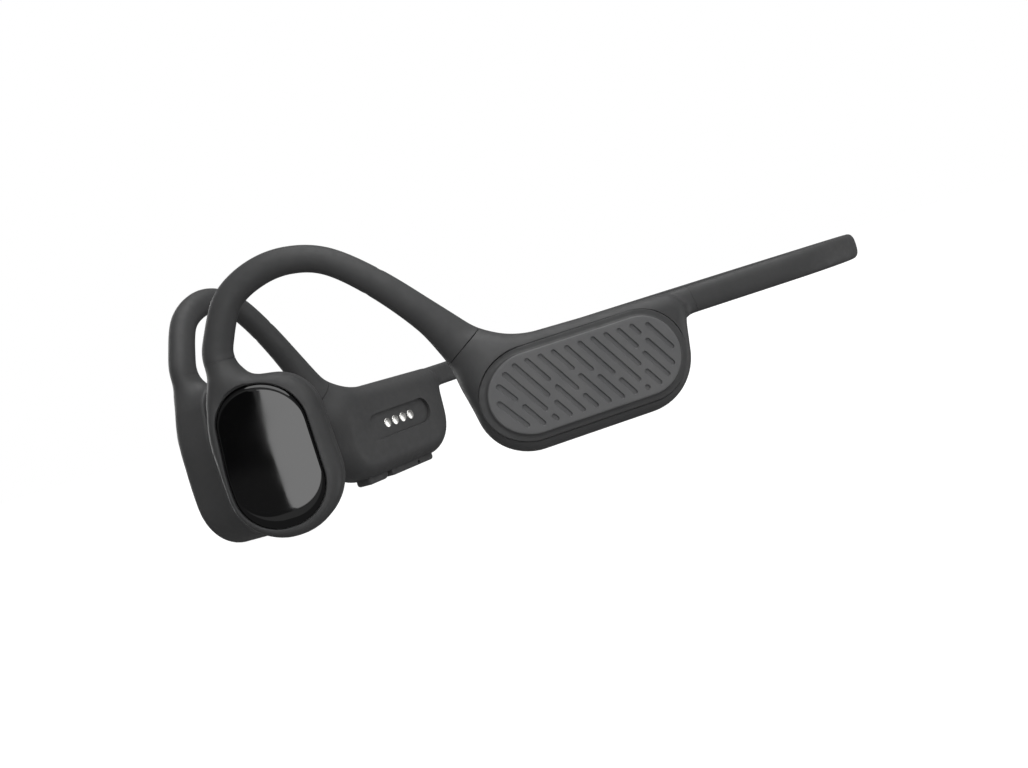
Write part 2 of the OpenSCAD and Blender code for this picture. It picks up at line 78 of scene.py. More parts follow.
# Ear hook: stations [s, z, half height, half thickness] from inside the pod, over the ear, into the housing
HOOK_STATIONS = np.array([
    [-50.6, 30.4, 3, 2.8], [-51.45, 35.8, 3, 2.6], [-50.3, 39.8, 2.85, 2.55],
    [-46.3, 46.3, 2.75, 2.5], [-40, 49.5, 2.75, 2.45], [-33.2, 49.95, 2.65, 2.4],
    [-26.3, 47.5, 2.6, 2.4], [-18.9, 40.8, 2.75, 2.4], [-11.6, 31.8, 3.15, 2.6],
    [-6.8, 24.4, 4.3, 3], [-2.6, 18.4, 5, 3.6]])
# Its sleeve runs from one of these stations to the other
POD_SEAM = 1
HOUSING_SEAM = 9
HOOK_BORE = 1.35
HOOK_STEPS = 14
# Rings at each end of a hook that are moved onto the fillet of the piece it meets
POD_END_RINGS = 20
HOUSING_END_RINGS = 30
# The neck inside the pod leaves out its first points, which would bulge over the plate
NECK_START = 11
SPIGOT_INSET = 0.5
SPIGOT_LENGTH = 1.4

# Housing: corners are (s, z, radius)
BODY_CORNERS = [(37.3, 22.3, 4), (-3, 23.45, 6), (-8.8, 19, 6), (-8.1, 1.3, 10), (33.5, 1.3, 11)]
HOUSING_DEPTH = 5.4
OUTER_EDGE = 3.0
INNER_EDGE = 4.4
INNER_EDGE_SHARE = 0.85
# The inner face closes in on the band along a quarter of an ellipse, which is cut off just before its end
TAPER_START = 24.5
TAPER_LENGTH = 12.6
TAPER_LIMIT = 0.985
WALL = 1.2
HOOK_FILLET = 6.0
# The band's fillet is wide below and nearly sharp at the housing's top edge
BAND_FILLETS = (0.3, 3.0)
BAND_FILLET_TOP = 21.6
BAND_FILLET_RUN = 2.5

# Neckband: an oval tube that runs straight on from each housing, round a corner, and into a shallow bow
BAND_Z = 19.6
BAND_HALF_H = 2.7
BAND_HALF_T = 1.7
BAND_POWER = 2.8
BAND_BORE = (1.45, 0.8)
BAND_STUB_S = 25
BAND_SEAM_S = 39.4
BAND_SEAM_LEAN = 0.15
BAND_LEAN_RINGS = 6
WIRE_RADIUS = 0.5
CABLE_RADIUS = 0.55
CORE_LIFT = 0.68
ARM_STRAIGHT = 59.6
CORNER_RADIUS = 26.0
BOW_ANGLE = math.radians(10)

# Grip pad: a flange in a pocket of the outer shell, and a plateau with slanted slots
PAD_CENTRE = (13, 12.3)
PAD_POCKET = (41.6, 18.2)
PAD_FLOOR = 4.85
PLATEAU = (38, 15)
PAD_RIM = (38.5, 15.45)
PAD_TOP = 6.2
SLOT_WIDTH = 0.95
SLOT_DEPTH = 0.44
SLOT_ANGLE = math.radians(58)
SLOT_PITCH = 2.7
SLOT_START = -17.55
# Height over the pad's middle at which each slot is broken in two. The two end slots are whole.
SLOT_BREAKS = [None, -1.1, -4.5, -2.2, 0.5, -2.7, 1.1, -0.2, -2.1, -4.9, -2.1, 1.3, 3.5, None]
SLOT_BREAK_HALF = 1.1
SLOT_MARGIN = 1.0

# Pod: its outline, the plate's, and the plate's flat middle. The rim round the plate is its highest edge.
POD_CORNERS = [(-36.2, 29.8, 8.5), (-55.2, 33, 5), (-57.9, 22, 22), (-57.4, 0, 10.5), (-35.4, 0, 11)]
PLATE_CORNERS = [(-38.7, 29.3, 9), (-55, 30.4, 7.5), (-56.6, 14, 40), (-56.2, 2.1, 8.4), (-38.8, 2.1, 8.4)]
CROWN_CORNERS = [(-39.5, 28, 8.2), (-54.3, 29.2, 6.7), (-55.9, 14, 40), (-55.5, 5.4, 6), (-39.6, 5.4, 6)]
POD_RIM = 2.8
POD_WAIST = 0.6
POD_EDGE = -5.6
POD_EDGE_ROUND = 0.8
POD_INNER = -7.8
RIM_GROWTH = 0.4
RIM_LEAST = 0.5
NECK_FILLET = 4.0
CROWN_DROP = 0.06
CROWN_FALL = 0.36
PLATE_INSET = 0.1
PLATE_DEPTH = 1.1

# Charging port on the right inner shell, and the keys in the right housing's floor
PORT_CENTRE = (13.5, 12.65)
PORT_SIZE = (23.8, 6.2)
PORT_FLOOR = -4.85
PORT_SLOPE = 0.022
PIN_COUNT = 4
PIN_PITCH = 3.0
PIN_RADIUS = 1.2
POWER_SPAN = (-0.6, 6.8)
ROCKER_SPAN = (7.9, 24.9)
KEY_HALF_W = 2.2
KEY_GAP = 0.3
KEY_TOP = 2.6
KEY_WINDOW_HEIGHTS = (-1, 4.4)
# A small dimple in the rocker's side
DIMPLE_CENTRE = (18.8, 0.75)
DIMPLE_SIZE = (0.9, 0.7)
DIMPLE_DEPTH = 0.4


def arm(points, side):
    """World points in metres from [s backwards, z up, w outwards] in mm; side 1 is left, -1 right."""
    s, z, w = np.asarray(points, float).reshape(-1, 3).T
    turn = HOUSING_SPLAY + np.clip(BEND_START - s, 0, BEND_LENGTH) / BEND_RADIUS
    behind = np.maximum(s, BEND_START)
    ahead = np.minimum(s - BEND_START + BEND_LENGTH, 0)
    x = (VALLEY[0] + behind * math.sin(HOUSING_SPLAY) + ahead * np.sin(turn) + w * np.cos(turn)
         - BEND_RADIUS * (math.cos(HOUSING_SPLAY) - np.cos(turn)))
    y = (VALLEY[1] + behind * math.cos(HOUSING_SPLAY) + ahead * np.cos(turn) - w * np.sin(turn)
         - BEND_RADIUS * (np.sin(turn) - math.sin(HOUSING_SPLAY)))
    return np.stack([side * x, y, z], 1) * MM


# ---------------------------------------------------------------- outlines and distance fields
def rounded(corners, inset=0.0, steps=14):
    """Closed outline round corners (x, y, radius), moved inwards by inset."""
    points = []
    for i, (x, y, radius) in enumerate(corners):
        before, here, after = (np.array(corners[k % len(corners)][:2], float) for k in (i - 1, i, i + 1))
        u1 = (here - before) / np.linalg.norm(here - before)
        u2 = (after - here) / np.linalg.norm(after - here)
        n1, n2 = np.array([-u1[1], u1[0]]), np.array([-u2[1], u2[0]])
        bend = math.atan2(u1[0] * u2[1] - u1[1] * u2[0], u1 @ u2)
        way = math.copysign(1, bend)
        r = max(radius - way * inset, 0.05)
        corner = here + inset * (n1 + n2) / (1 + n1 @ n2)
        centre = corner - u1 * r * math.tan(abs(bend) / 2) + way * r * n1
        for a in bend * np.arange(steps + 1) / steps:
            spoke = np.array([n1[0] * math.cos(a) - n1[1] * math.sin(a),
                              n1[0] * math.sin(a) + n1[1] * math.cos(a)])
            points.append(centre - way * r * spoke)
    return np.array(points)


def pill(length, height, centre=(0, 0), steps=24):
    """Outline of a bar with round ends."""
    a = np.radians(np.linspace(-90, 90, steps + 1))
    cap = np.stack([(length - height) / 2 + height / 2 * np.cos(a), height / 2 * np.sin(a)], 1)
    return np.concatenate([cap, -cap]) + np.array(centre)


def outline_distance(outline, x, y):
    """Distance to a closed outline, negative inside."""
    best = np.full(np.broadcast(x, y).shape, np.inf)
    inside = np.zeros(best.shape, bool)
    for (ax, ay), (bx, by) in zip(outline, np.roll(outline, -1, 0)):
        ex, ey = bx - ax, by - ay
        px, py = x - ax, y - ay
        t = np.clip((px * ex + py * ey) / (ex * ex + ey * ey + 1e-12), 0, 1)
        best = np.minimum(best, (px - t * ex) ** 2 + (py - t * ey) ** 2)
        inside ^= ((ay > y) != (by > y)) & (px < ex * py / (ey or 1e-12))
    return np.where(inside, -1, 1) * np.sqrt(best)


def path_distance(path, x, y):
    """Distance to a path of [s, z, half height, half thickness], with both halves at the nearest point."""
    shape = np.broadcast(x, y).shape
    best, height, thick = np.full(shape, np.inf), np.zeros(shape), np.zeros(shape)
    for a, b in zip(path[:-1], path[1:]):
        ex, ey = b[0] - a[0], b[1] - a[1]
        t = np.clip(((x - a[0]) * ex + (y - a[1]) * ey) / (ex * ex + ey * ey), 0, 1)
        d = (x - a[0] - t * ex) ** 2 + (y - a[1] - t * ey) ** 2
        near = d < best
        best = np.where(near, d, best)
        height = np.where(near, a[2] + t * (b[2] - a[2]), height)
        thick = np.where(near, a[3] + t * (b[3] - a[3]), thick)
    return np.sqrt(best), height, thick


def oval_distance(a, b, half_a, half_b, power=2.0):
    """Nearly the distance to the oval |a / half_a|^power + |b / half_b|^power = 1, negative inside."""
    u, v = np.abs(a) / half_a, np.abs(b) / half_b
    size = (u ** power + v ** power + 1e-9) ** (1 / power)
    slope = np.hypot(u ** (power - 1) / half_a, v ** (power - 1) / half_b) * size ** (1 - power)
    return (size - 1) / np.maximum(slope, 0.05)


def tube_distance(path, s, z, w):
    """Nearly the distance to the oval tube along a path, negative inside."""
    away, height, thick = path_distance(path, s, z)
    return oval_distance(away, w, height, thick)


def union(a, b, size):
    """Smallest of two distances, with a fillet of about that size."""
    h = np.maximum(size - np.abs(a - b), 0) / size
    return np.minimum(a, b) - h * h * size / 4


def smooth_path(stations, first, last, steps):
    """Catmull-Rom curve through stations first to last."""
    out = []
    for i in range(first, last):
        a, b, c, d = (stations[min(max(k, 0), len(stations) - 1)] for k in (i - 1, i, i + 1, i + 2))
        for t in np.arange(steps) / steps:
            out.append(0.5 * (2 * b + (c - a) * t + (2 * a - 5 * b + 4 * c - d) * t * t
                              + (3 * b - a - 3 * c + d) * t ** 3))
    return np.array(out + [stations[last]])


HOOK_END = len(HOOK_STATIONS) - 1
HOOK_ROOT = smooth_path(HOOK_STATIONS, HOUSING_SEAM - 2, HOOK_END, 20)
HOOK_NECK = smooth_path(HOOK_STATIONS, 0, POD_SEAM + 2, 20)[NECK_START:]
BODY = rounded(BODY_CORNERS)
POD = rounded(POD_CORNERS)
POD_TOP = rounded(PLATE_CORNERS, -RIM_GROWTH)


def housing_field(s, z, w):
    """Distance to the housing with its stubs to the hook and the band."""
    run = np.clip((s - TAPER_START) / TAPER_LENGTH, 0, TAPER_LIMIT)
    depth = np.where(w < 0, HOUSING_DEPTH * np.sqrt(1 - run * run), HOUSING_DEPTH)
    edge = np.where(w < 0, np.minimum(INNER_EDGE, INNER_EDGE_SHARE * depth), OUTER_EDGE)
    in_plan = outline_distance(BODY, s, z) + edge
    in_depth = np.abs(w) - depth + edge
    body = (np.hypot(np.maximum(in_plan, 0), np.maximum(in_depth, 0))
            + np.minimum(np.maximum(in_plan, in_depth), 0) - edge)
    band = oval_distance(z - BAND_Z, w, BAND_HALF_H, BAND_HALF_T, BAND_POWER)
    stub = np.maximum(band, BAND_STUB_S - s)
    least, most = BAND_FILLETS
    fillet = least + (most - least) * np.clip((BAND_FILLET_TOP - z) / BAND_FILLET_RUN, 0, 1)
    return union(union(body, tube_distance(HOOK_ROOT, s, z, w), HOOK_FILLET), stub, fillet)


def pod_field(s, z, w):
    """Distance to the pod with its neck: an oval flank from the waist up to the rim round the plate."""
    base = outline_distance(POD, s, z)
    width = np.maximum(outline_distance(POD_TOP, s, z) - base, RIM_LEAST)
    inward = np.maximum(1 + base / width, 0) * width
    body = np.maximum(oval_distance(inward, np.maximum(w - POD_WAIST, 0), width, POD_RIM - POD_WAIST), base)
    skin = union(body, tube_distance(HOOK_NECK, s, z, w), NECK_FILLET)
    return -union(-skin, w - POD_EDGE, POD_EDGE_ROUND)


def hollow(field, wall):
    """The same body as a shell of that wall."""
    def shell(s, z, w):
        skin = field(s, z, w)
        return np.maximum(skin, -skin - wall)
    return shell


def settle(field, points, rounds=4, step=0.02, reach=0.3):
    """Moves points onto the surface where the field is zero, at most reach at a time."""
    points = np.array(points, float)
    for _ in range(rounds):
        value = field(*points.T)
        slope = np.stack([(field(*(points + step * axis).T) - value) / step for axis in np.eye(3)], 1)
        push = value[:, None] * slope / np.maximum((slope ** 2).sum(1), 0.2)[:, None]
        points -= np.clip(push, -reach, reach)
    return points


def skin_mesh(field, box, cell=SKIN_CELL):
    """Closed quad mesh where the field is zero inside a box, by surface nets. Points are [s, z, w]."""
    low, high = box
    axes = [np.arange(a, b + cell, cell) for a, b in zip(low, high)]
    grid = field(axes[0][:, None, None], axes[1][None, :, None], axes[2][None, None, :])
    cells = np.array(grid.shape) - 1
    inside = grid < 0

    def corner(values, offset):
        return values[tuple(slice(o, o + n) for o, n in zip(offset, cells))]

    filled = sum(corner(inside, o).astype(int) for o in itertools.product((0, 1), repeat=3))
    mixed = (filled > 0) & (filled < 8)
    index = np.full(cells, -1)
    index[mixed] = np.arange(mixed.sum())
    origin = np.argwhere(mixed).astype(float)
    total, hits = np.zeros_like(origin), np.zeros(len(origin))
    for axis in range(3):
        for offset in itertools.product((0, 1), repeat=3):
            if offset[axis]:
                continue
            far = tuple(1 if k == axis else o for k, o in enumerate(offset))
            a, b = corner(grid, offset)[mixed], corner(grid, far)[mixed]
            crossed = (a < 0) != (b < 0)
            t = np.where(crossed, a / np.where(crossed, a - b, 1), 0)
            point = origin + np.array(offset, float)
            point[:, axis] += t
            total += crossed[:, None] * point
            hits += crossed
    points = total / hits[:, None] * cell + np.array(low)
    quads = []
    for axis in range(3):
        u, v = (axis + 1) % 3, (axis + 2) % 3
        size = list(grid.shape)
        size[axis] -= 1
        near = inside[tuple(slice(0, n) for n in size)]
        far = inside[tuple(slice(1 if k == axis else 0, (1 if k == axis else 0) + n)
                           for k, n in enumerate(size))]
        at = np.argwhere(near != far)
        at = at[(at[:, u] > 0) & (at[:, v] > 0) & (at[:, u] < cells[u]) & (at[:, v] < cells[v])]
        leaving = near[tuple(at.T)]
        ring = []
        for du, dv in ((0, 0), (1, 0), (1, 1), (0, 1)):
            place = at.copy()
            place[:, u] -= du
            place[:, v] -= dv
            ring.append(index[tuple(place.T)])
        ring = np.stack(ring, 1)
        quads.append(np.where(leaving[:, None], ring, ring[:, ::-1]))
    return settle(field, points), np.concatenate(quads)


# ---------------------------------------------------------------- mesh helpers
def mesh_object(name, points, faces):
    """New object in the scene, made of points and faces."""
    mesh = bpy.data.meshes.new(name)
    mesh.from_pydata([tuple(p) for p in points], [], [tuple(f) for f in faces])
    mesh.validate()
    thing = bpy.data.objects.new(name, mesh)
    bpy.context.scene.collection.objects.link(thing)
    return thing


def loft(name, layers):
    """Closed solid through layers (outline, w), each with equally many points [s, z]."""
    n = len(layers[0][0])
    points = np.concatenate([np.column_stack([outline, np.full(n, w)]) for outline, w in layers])
    faces = [tuple(range(n - 1, -1, -1)), tuple(range(len(points) - n, len(points)))]
    for i in range(len(layers) - 1):
        for j in range(n):
            k = (j + 1) % n
            faces.append((i * n + j, i * n + k, (i + 1) * n + k, (i + 1) * n + j))
    thing = mesh_object(name, points, faces)
    face_outwards(thing)
    return thing


def tube(name, outer, inner):
    """Closed tube from rings of points, as arrays [ring, side, 3]."""
    rings, sides = outer.shape[:2]
    points = np.concatenate([outer.reshape(-1, 3), inner.reshape(-1, 3)])
    core = rings * sides
    faces = []
    for j in range(sides):
        k = (j + 1) % sides
        for i in range(rings - 1):
            a, b = i * sides, (i + 1) * sides
            faces.append((a + j, b + j, b + k, a + k))
            faces.append((core + a + k, core + b + k, core + b + j, core + a + j))
        end = (rings - 1) * sides
        faces.append((j, k, core + k, core + j))
        faces.append((core + end + j, core + end + k, end + k, end + j))
    thing = mesh_object(name, points, faces)
    face_outwards(thing)
    return thing


def rod(name, rings):
    """Closed solid rod from rings of points."""
    count, sides = rings.shape[:2]
    faces = [tuple(range(sides - 1, -1, -1)), tuple(range((count - 1) * sides, count * sides))]
    for i in range(count - 1):
        for j in range(sides):
            k = (j + 1) % sides
            faces.append((i * sides + j, i * sides + k, (i + 1) * sides + k, (i + 1) * sides + j))
    thing = mesh_object(name, rings.reshape(-1, 3), faces)
    face_outwards(thing)
    return thing


def face_outwards(thing):
    """Turns the faces of a closed mesh outwards."""
    bm = bmesh.new()
    bm.from_mesh(thing.data)
    bmesh.ops.recalc_face_normals(bm, faces=bm.faces[:])
    bm.to_mesh(thing.data)
    bm.free()


def cut(thing, point, normal):
    """Removes what lies beyond a plane and closes the cut."""
    bm = bmesh.new()
    bm.from_mesh(thing.data)
    everything = bm.verts[:] + bm.edges[:] + bm.faces[:]
    found = bmesh.ops.bisect_plane(bm, geom=everything, dist=1e-4, plane_co=point, plane_no=normal,
                                   clear_outer=True)
    rim = [e for e in found["geom_cut"] if isinstance(e, bmesh.types.BMEdge)]
    bmesh.ops.triangle_fill(bm, use_beauty=True, use_dissolve=False, edges=rim, normal=normal)
    bmesh.ops.recalc_face_normals(bm, faces=bm.faces[:])
    bm.to_mesh(thing.data)
    bm.free()
    return thing


def carve(thing, *cutters):
    """Cuts closed solids out of thing and deletes them."""
    for cutter in cutters:
        modifier = thing.modifiers.new("carve", "BOOLEAN")
        modifier.operation = "DIFFERENCE"
        modifier.solver = "EXACT"
        modifier.object = cutter
        graph = bpy.context.evaluated_depsgraph_get()
        carved = bpy.data.meshes.new_from_object(thing.evaluated_get(graph))
        thing.modifiers.remove(modifier)
        thing.data = carved
        bpy.data.objects.remove(cutter)
    return thing


def copy_of(thing, name):
    """New object with its own copy of a mesh."""
    twin = bpy.data.objects.new(name, thing.data.copy())
    bpy.context.scene.collection.objects.link(twin)
    return twin


def mapped(thing, side):
    """Takes a mesh from arm coordinates to its place. The right arm mirrors it, so its faces turn over."""
    mesh = thing.data
    co = np.empty(len(mesh.vertices) * 3)
    mesh.vertices.foreach_get("co", co)
    mesh.vertices.foreach_set("co", arm(co.reshape(-1, 3), side).ravel())
    if side < 0:
        mesh.flip_normals()
    mesh.update()
    return thing


def finished(thing, name, material, body, nodes, sharp=38):
    """Names a piece, shades it, and ties it to one body. Given anything but a body's name, it only bakes
    its transform in.
    """
    thing.name = name
    thing.data.name = name
    thing.data.materials.clear()
    thing.data.materials.append(material)
    thing.data.shade_smooth()
    thing.data.set_sharp_from_angle(angle=math.radians(sharp))
    if isinstance(body, str):
        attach(thing, body)
    else:
        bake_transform(thing)
    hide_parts(*nodes)
    return thing


# ---------------------------------------------------------------- materials
def new_material(name, colour, rough, **sockets):
    """Material with values for the shader's sockets, whose names have _ for each space."""
    material = bpy.data.materials.new(name)
    material.use_nodes = True
    shader = material.node_tree.nodes["Principled BSDF"]
    shader.inputs["Base Color"].default_value = (*colour, 1)
    shader.inputs["Roughness"].default_value = rough
    for key, value in sockets.items():
        shader.inputs[key.replace("_", " ")].default_value = value
    return material


def add_noise(material, size_mm, detail=3.0, kind="ShaderNodeTexNoise"):
    """A noise texture in object space whose features are about size_mm across."""
    nodes, links = material.node_tree.nodes, material.node_tree.links
    where = nodes.new("ShaderNodeTexCoord")
    noise = nodes.new(kind)
    noise.inputs["Scale"].default_value = 1 / (size_mm * MM)
    if "Detail" in noise.inputs:
        noise.inputs["Detail"].default_value = detail
    links.new(where.outputs["Object"], noise.inputs["Vector"])
    return noise


def add_bump(material, texture, strength, height_mm, output=0):
    """Bump from a texture, on top of any earlier bump."""
    nodes, links = material.node_tree.nodes, material.node_tree.links
    shader = nodes["Principled BSDF"]
    bump = nodes.new("ShaderNodeBump")
    bump.inputs["Strength"].default_value = strength
    bump.inputs["Distance"].default_value = height_mm * MM
    links.new(texture.outputs[output], bump.inputs["Height"])
    earlier = shader.inputs["Normal"].links
    if earlier:
        links.new(earlier[0].from_socket, bump.inputs["Normal"])
    links.new(bump.outputs["Normal"], shader.inputs["Normal"])


def vary(material, texture, socket, low, high):
    """Lets a texture move a socket between two values."""
    nodes, links = material.node_tree.nodes, material.node_tree.links
    spread = nodes.new("ShaderNodeMapRange")
    spread.inputs["From Min"].default_value = 0.35
    spread.inputs["From Max"].default_value = 0.65
    spread.inputs["To Min"].default_value = low
    spread.inputs["To Max"].default_value = high
    links.new(texture.outputs[0], spread.inputs["Value"])
    links.new(spread.outputs["Result"], nodes["Principled BSDF"].inputs[socket])


def vary_colour(material, texture, first, second):
    """Lets a texture move the colour between two."""
    nodes, links = material.node_tree.nodes, material.node_tree.links
    ramp = nodes.new("ShaderNodeValToRGB")
    ramp.color_ramp.elements[0].position = 0.3
    ramp.color_ramp.elements[1].position = 0.7
    ramp.color_ramp.elements[0].color = (*first, 1)
    ramp.color_ramp.elements[1].color = (*second, 1)
    links.new(texture.outputs[0], ramp.inputs["Fac"])
    links.new(ramp.outputs["Color"], nodes["Principled BSDF"].inputs["Base Color"])


def soft_touch(name, grey, rough, grain_mm, grain_height):
    """Matte elastomer coat: fine grain, faint mottling and uneven sheen."""
    material = new_material(name, (grey, grey, grey), rough, Specular_IOR_Level=0.45)
    mottling = add_noise(material, 6.0, 4)
    vary_colour(material, mottling, (grey * 0.93, grey * 0.94, grey * 0.96),
                (grey * 1.06, grey * 1.06, grey * 1.07))
    vary(material, add_noise(material, 1.6, 5), "Roughness", rough - 0.05, rough + 0.06)
    add_bump(material, add_noise(material, grain_mm, 2), 0.35, grain_height)
    return material


def metal(name, colour, rough, scratch_mm=0.4):
    """Bare metal with an uneven polish."""
    material = new_material(name, colour, rough, Metallic=1.0)
    vary(material, add_noise(material, scratch_mm, 4), "Roughness", rough * 0.7, rough * 1.4)
    return material


def moulded(name, colour, rough, grain_mm=0.3, grain_height=0.01):
    """Hard moulded material with a fine grain and uneven colour."""
    material = new_material(name, colour, rough)
    darker = tuple(c * 0.9 for c in colour)
    vary_colour(material, add_noise(material, 2.0, 3), darker, colour)
    add_bump(material, add_noise(material, grain_mm, 2), 0.3, grain_height)
    return material


GREY = 0.058
shell_coat = soft_touch("soft_touch_coat", GREY, 0.56, 0.12, 0.012)
sleeve_silicone = soft_touch("silicone_sleeve", GREY * 0.98, 0.6, 0.1, 0.012)
pad_rubber = soft_touch("pad_rubber", 0.143, 0.66, 0.16, 0.02)
contact_rubber = soft_touch("contact_rubber", GREY * 1.02, 0.62, 0.1, 0.01)
key_plastic = soft_touch("key_plastic", GREY * 1.05, 0.55, 0.12, 0.012)
seal_rubber = soft_touch("seal_rubber", 0.02, 0.7, 0.1, 0.01)


def make_gloss_plate():
    """Glossy black cover with a slight, uneven waviness."""
    material = new_material("gloss_plate", (0.0022, 0.0022, 0.0025), 0.03, IOR=1.5)
    vary(material, add_noise(material, 9.0, 2), "Roughness", 0.02, 0.045)
    add_bump(material, add_noise(material, 14.0, 1), 0.15, 0.01)
    return material


gloss_plate = make_gloss_plate()
pin_metal = metal("contact_metal", (0.92, 0.91, 0.88), 0.16, 0.2)
core_steel = metal("core_wire", (0.6, 0.58, 0.55), 0.3)
cable_jacket = moulded("cable_jacket", (0.02, 0.02, 0.021), 0.45)
spring_steel = metal("spring_steel", (0.62, 0.63, 0.65), 0.25)
plated_steel = metal("plated_steel", (0.72, 0.72, 0.74), 0.2)
battery_foil = metal("battery_foil", (0.77, 0.77, 0.79), 0.38, 1.5)
board_mask = moulded("circuit_board", (0.02, 0.12, 0.055), 0.35)
chip_black = moulded("chip_black", (0.02, 0.02, 0.021), 0.5)
antenna_ceramic = moulded("antenna_ceramic", (0.78, 0.77, 0.74), 0.4)
contact_block = moulded("contact_block", (0.022, 0.022, 0.024), 0.3)


def make_winding():
    """Enamelled wire wound in turns along the coil's axis."""
    material = metal("copper_winding", (0.72, 0.38, 0.2), 0.3)
    nodes, links = material.node_tree.nodes, material.node_tree.links
    where = nodes.new("ShaderNodeTexCoord")
    turns = nodes.new("ShaderNodeTexWave")
    turns.inputs["Scale"].default_value = 2200
    turns.bands_direction = "X"
    links.new(where.outputs["Object"], turns.inputs["Vector"])
    add_bump(material, turns, 0.5, 0.05, output=1)
    return material


copper_winding = make_winding()


def make_foam():
    """Open-celled foam."""
    material = moulded("foam", (0.12, 0.12, 0.12), 0.95)
    cells = add_noise(material, 0.5, 1, "ShaderNodeTexVoronoi")
    add_bump(material, cells, 0.8, 0.15)
    return material


foam = make_foam()

SLOT_MATERIALS = {
    "silicone_sleeve": sleeve_silicone, "soft_touch_shell": shell_coat, "pad_rubber": pad_rubber,
    "contact_rubber": contact_rubber, "gloss_plate": gloss_plate, "key_plastic": key_plastic,
    "contact_metal": pin_metal, "core_wire": core_steel, "cable_jacket": cable_jacket,
    "seal_rubber": seal_rubber, "spring_steel": spring_steel, "plated_steel": plated_steel,
    "copper_winding": copper_winding, "battery_foil": battery_foil, "circuit_board": board_mask,
    "chip_black": chip_black, "antenna_ceramic": antenna_ceramic, "foam": foam,
    "contact_block": contact_block,
}
for part in frame["record"]["subparts"]:
    node = frame["nodes"][part["node"]]
    node.data.materials.clear()
    node.data.materials.append(SLOT_MATERIALS[part["material_slot"]])


# ---------------------------------------------------------------- camera, lights and floor
CAMERA_PLACE = (242.75, -160.48, 24.18)
CAMERA_AZIMUTH = math.radians(56.127)
CAMERA_PITCH = math.radians(2.186)
CAMERA_ROLL = math.radians(17.8)
CAMERA_LENS = 45.605
LIGHT_TARGET = Vector((0, -20, 20)) * MM
LIGHT_DISTANCE = 1.1
LIGHT_SIZE = 0.9
WORLD_FILL = 0.19
# Each light's direction (right, up, back) by the camera's axes, and its watts
SOFTBOXES = {"key": ((0, 1, 1), 6.3), "above": ((0, 1, 0), 5.3), "rear_side": ((1, 0, 0), 2.7),
             "front": ((0, 0, 1), 0.7), "below_front": ((0, -1, 1), 1.9), "below_side": ((1, -1, 0), 1.4),
             "far_side": ((-1, 0, -1), 5.1)}


def place_camera():
    """At the height of the housings, a little ahead of the wearer's left side, and rolled."""
    ahead = Vector((-math.sin(CAMERA_AZIMUTH) * math.cos(CAMERA_PITCH),
                    math.cos(CAMERA_AZIMUTH) * math.cos(CAMERA_PITCH), -math.sin(CAMERA_PITCH)))
    level = Vector((math.cos(CAMERA_AZIMUTH), math.sin(CAMERA_AZIMUTH), 0))
    above = level.cross(ahead)
    right = level * math.cos(CAMERA_ROLL) - above * math.sin(CAMERA_ROLL)
    up = right.cross(ahead)
    camera = bpy.data.objects.new("camera", bpy.data.cameras.new("camera"))
    camera.data.sensor_width = 36
    camera.data.lens = CAMERA_LENS
    camera.data.clip_start = 0.01
    turn = Matrix((right, up, -ahead)).transposed().to_4x4()
    camera.matrix_world = Matrix.Translation(Vector(CAMERA_PLACE) * MM) @ turn
    bpy.context.scene.collection.objects.link(camera)
    bpy.context.scene.camera = camera


def softbox(name, way, watts):
    """Round light in a direction from the object. Those from below don't show in reflections."""
    light = bpy.data.lights.new(name, "AREA")
    light.shape = "DISK"
    light.size = LIGHT_SIZE
    light.energy = watts
    towards = bpy.context.scene.camera.matrix_world.to_3x3() @ Vector(way).normalized()
    thing = bpy.data.objects.new(name, light)
    thing.location = LIGHT_TARGET + LIGHT_DISTANCE * towards
    thing.rotation_euler = (-towards).to_track_quat("-Z", "Y").to_euler()
    thing.visible_glossy = not name.startswith("below")
    bpy.context.scene.collection.objects.link(thing)


def make_stage():
    """Pale floor that lights nothing and shows in no reflection."""
    floor = mesh_object("floor", [(-4, -4, 0), (4, -4, 0), (4, 4, 0), (-4, 4, 0)], [(0, 1, 2, 3)])
    pale = new_material("pale_floor", (0.2, 0.2, 0.2), 0.9, Specular_IOR_Level=0.0,
                        Emission_Color=(1, 1, 1, 1), Emission_Strength=1.0)
    vary(pale, add_noise(pale, 40, 2), "Roughness", 0.85, 0.95)
    floor.data.materials.append(pale)
    floor.visible_diffuse = False
    floor.visible_glossy = False


def make_card(name, near, far, low, high, glow, foot_glow, fade, shifts=(0, 0)):
    """Upright card between two places in plan, seen only in reflections. Its light passes from foot_glow
    to glow between two heights. shifts moves its near edge at even heights, from foot to top."""
    near, far = np.array(near, float), np.array(far, float)
    along = (far - near) / np.linalg.norm(far - near)
    edge = zip(shifts, np.linspace(low, high, len(shifts)))
    points = [(*(near + along * shift), z) for shift, z in edge]
    points += [(*far, high), (*far, low)]
    card = mesh_object(name, np.array(points) * MM, [tuple(range(len(points)))])
    material = new_material(name, (0, 0, 0), 1.0, Specular_IOR_Level=0.0, Emission_Color=(1, 1, 1, 1))
    nodes, links = material.node_tree.nodes, material.node_tree.links
    where, split = nodes.new("ShaderNodeTexCoord"), nodes.new("ShaderNodeSeparateXYZ")
    ramp = nodes.new("ShaderNodeMapRange")
    ramp.interpolation_type = "SMOOTHSTEP"
    ramp.inputs["From Min"].default_value = fade[0] * MM
    ramp.inputs["From Max"].default_value = fade[1] * MM
    ramp.inputs["To Min"].default_value = foot_glow
    ramp.inputs["To Max"].default_value = glow
    links.new(where.outputs["Object"], split.inputs["Vector"])
    links.new(split.outputs["Z"], ramp.inputs["Value"])
    links.new(ramp.outputs["Result"], nodes["Principled BSDF"].inputs["Emission Strength"])
    card.data.materials.append(material)
    for ray in ("visible_camera", "visible_diffuse", "visible_shadow", "visible_transmission"):
        setattr(card, ray, False)


